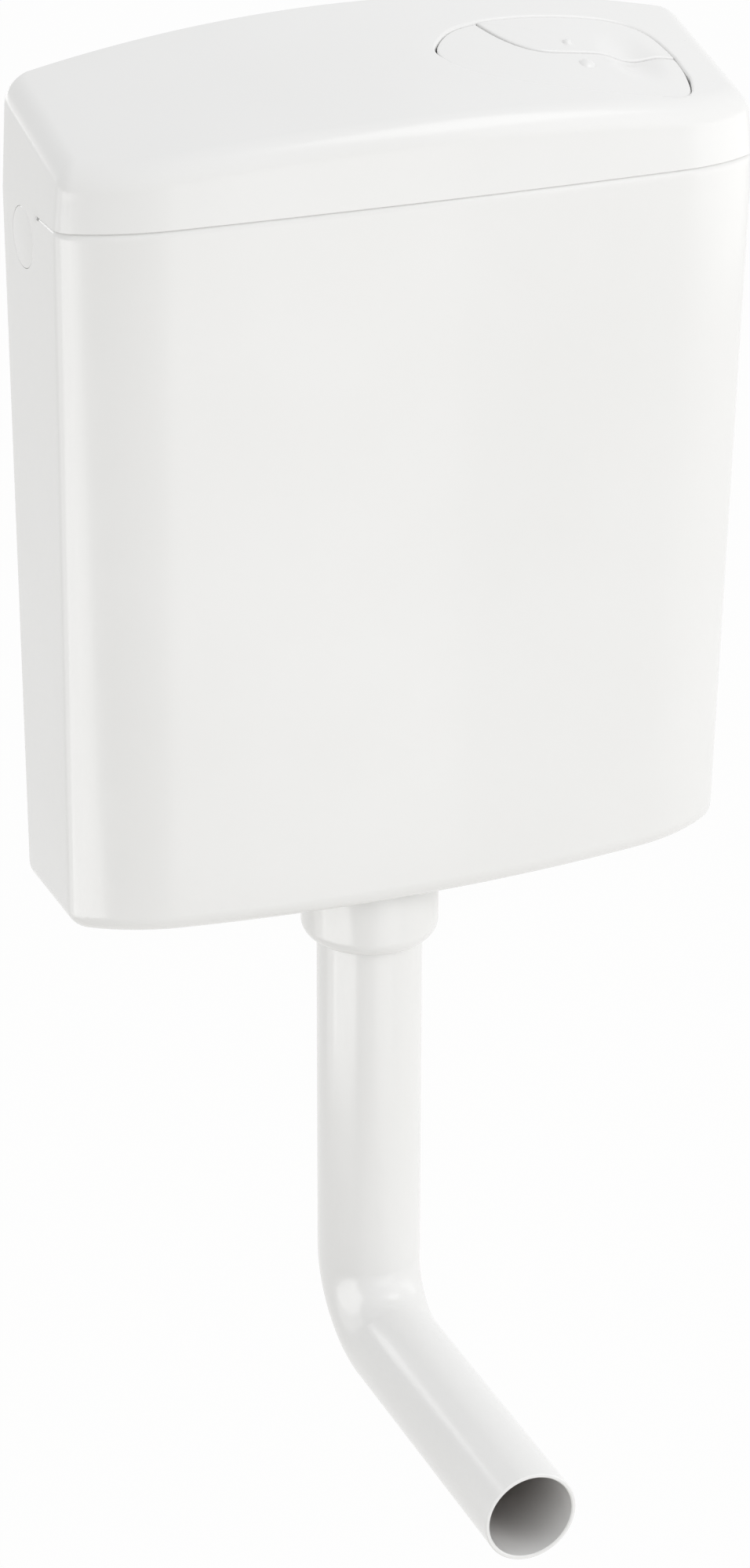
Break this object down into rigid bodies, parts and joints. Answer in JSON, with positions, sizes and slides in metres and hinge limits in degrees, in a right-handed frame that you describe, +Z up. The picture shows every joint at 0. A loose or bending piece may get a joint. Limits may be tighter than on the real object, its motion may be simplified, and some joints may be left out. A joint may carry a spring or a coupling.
{
  "type": "toilet cistern",
  "caption": "Wall-hung low-level toilet cistern with bowed tank, crowned lid, two-part flush button, dual-flush valve, side-entry fill valve and a flush bend.",
  "frame": {"origin": "midway between the two wall screw holes, on the wall", "axes": "+Z up, +X to the right as seen from the front, +Y into the wall"},
  "size_m": [0.3373, 0.238, 0.6663],
  "materials": {
    "cistern_white": "smooth moulded white plastic with a soft gloss",
    "button_white": "smooth moulded white plastic with a soft gloss",
    "pipe_white": "smooth extruded white plastic",
    "mech_natural": "plain moulded off-white plastic",
    "mech_grey": "plain moulded grey plastic",
    "mech_blue": "plain moulded blue plastic",
    "float_white": "plain moulded white plastic",
    "seal_rubber": "moulded black rubber",
    "plain_steel": "plain stainless steel"
  },
  "bodies": {
    "tank": {"cistern_body": "cistern_white", "actuator_bridge": "mech_natural", "lever_pin": "plain_steel", "flush_valve_base": "mech_grey", "base_gasket": "seal_rubber", "back_nut": "mech_natural", "coupling_nut": "pipe_white", "pipe_seal": "seal_rubber", "flush_pipe": "pipe_white", "valve_cage": "mech_blue", "fill_valve_body": "mech_natural", "inlet_seal": "seal_rubber", "inlet_lock_nut": "mech_natural", "inlet_filter": "mech_blue", "valve_cap": "mech_blue", "diaphragm": "seal_rubber", "discharge_tube": "mech_natural", "float_arm_pin": "plain_steel", "blanking_cap": "cistern_white"},
    "cover": {"lid": "cistern_white", "button_carrier": "mech_natural", "carrier_screws": "plain_steel", "button_hinge_pin": "plain_steel", "full_return_spring": "plain_steel", "half_return_spring": "plain_steel"},
    "full_button": {"full_flush_button": "button_white", "full_push_rod": "mech_natural"},
    "half_button": {"half_flush_button": "button_white", "half_push_rod": "mech_natural"},
    "full_lever": {"full_flush_lever": "mech_blue"},
    "half_lever": {"half_flush_lever": "mech_natural"},
    "valve": {"lift_tube": "mech_grey", "valve_seal": "seal_rubber", "seal_retainer": "mech_natural", "valve_float": "float_white"},
    "half_valve": {"half_flush_rod": "mech_natural", "half_flush_float": "float_white"},
    "float": {"float_rod": "plain_steel", "fill_float": "float_white"},
    "arm": {"float_arm": "mech_blue"}
  },
  "joints": [
    {"name": "lid_lift", "type": "slide", "parent": "tank", "child": "cover", "axis": [0, 0, 1], "range_m": [0, 0.12]},
    {"name": "full_button_press", "type": "hinge", "parent": "cover", "child": "full_button", "pos_m": [0.034, -0.05, 0.0755], "axis": [0, 1, 0], "range_deg": [0, 4], "stiffness_Nm_per_rad": 2, "springref_deg": -2.86, "deforming": ["full_return_spring"]},
    {"name": "half_button_press", "type": "hinge", "parent": "cover", "child": "half_button", "pos_m": [0.034, -0.0355, 0.0755], "axis": [0, 1, 0], "range_deg": [0, 4], "stiffness_Nm_per_rad": 2, "springref_deg": -2.86, "deforming": ["half_return_spring"]},
    {"name": "full_lever_rock", "type": "hinge", "parent": "tank", "child": "full_lever", "pos_m": [0.068, -0.062, 0.031], "axis": [0, 1, 0], "range_deg": [0, 10.01]},
    {"name": "half_lever_rock", "type": "hinge", "parent": "tank", "child": "half_lever", "pos_m": [0.068, -0.027, 0.031], "axis": [0, 1, 0], "range_deg": [0, 10.01]},
    {"name": "valve_lift", "type": "slide", "parent": "tank", "child": "valve", "axis": [0, 0, 1], "range_m": [0, 0.01301]},
    {"name": "half_valve_lift", "type": "slide", "parent": "tank", "child": "half_valve", "axis": [0, 0, 1], "range_m": [0, 0.01301]},
    {"name": "float_rise", "type": "slide", "parent": "tank", "child": "float", "axis": [0, 0, 1], "range_m": [0, 0.012]},
    {"name": "float_arm_swing", "type": "hinge", "parent": "tank", "child": "arm", "pos_m": [0.11191, -0.0285, 0.002], "axis": [0, 1, 0], "range_deg": [0, 26.7]}
  ],
  "couplings": [
    {"joint": "full_lever_rock", "follows": "full_button_press", "ratio": 2.5},
    {"joint": "valve_lift", "follows": "full_button_press", "m_per_rad": 0.18621},
    {"joint": "half_lever_rock", "follows": "half_button_press", "ratio": 2.5},
    {"joint": "half_valve_lift", "follows": "half_button_press", "m_per_rad": 0.18621},
    {"joint": "float_arm_swing", "follows": "float_rise", "rad_per_m": 38.81}
  ]
}
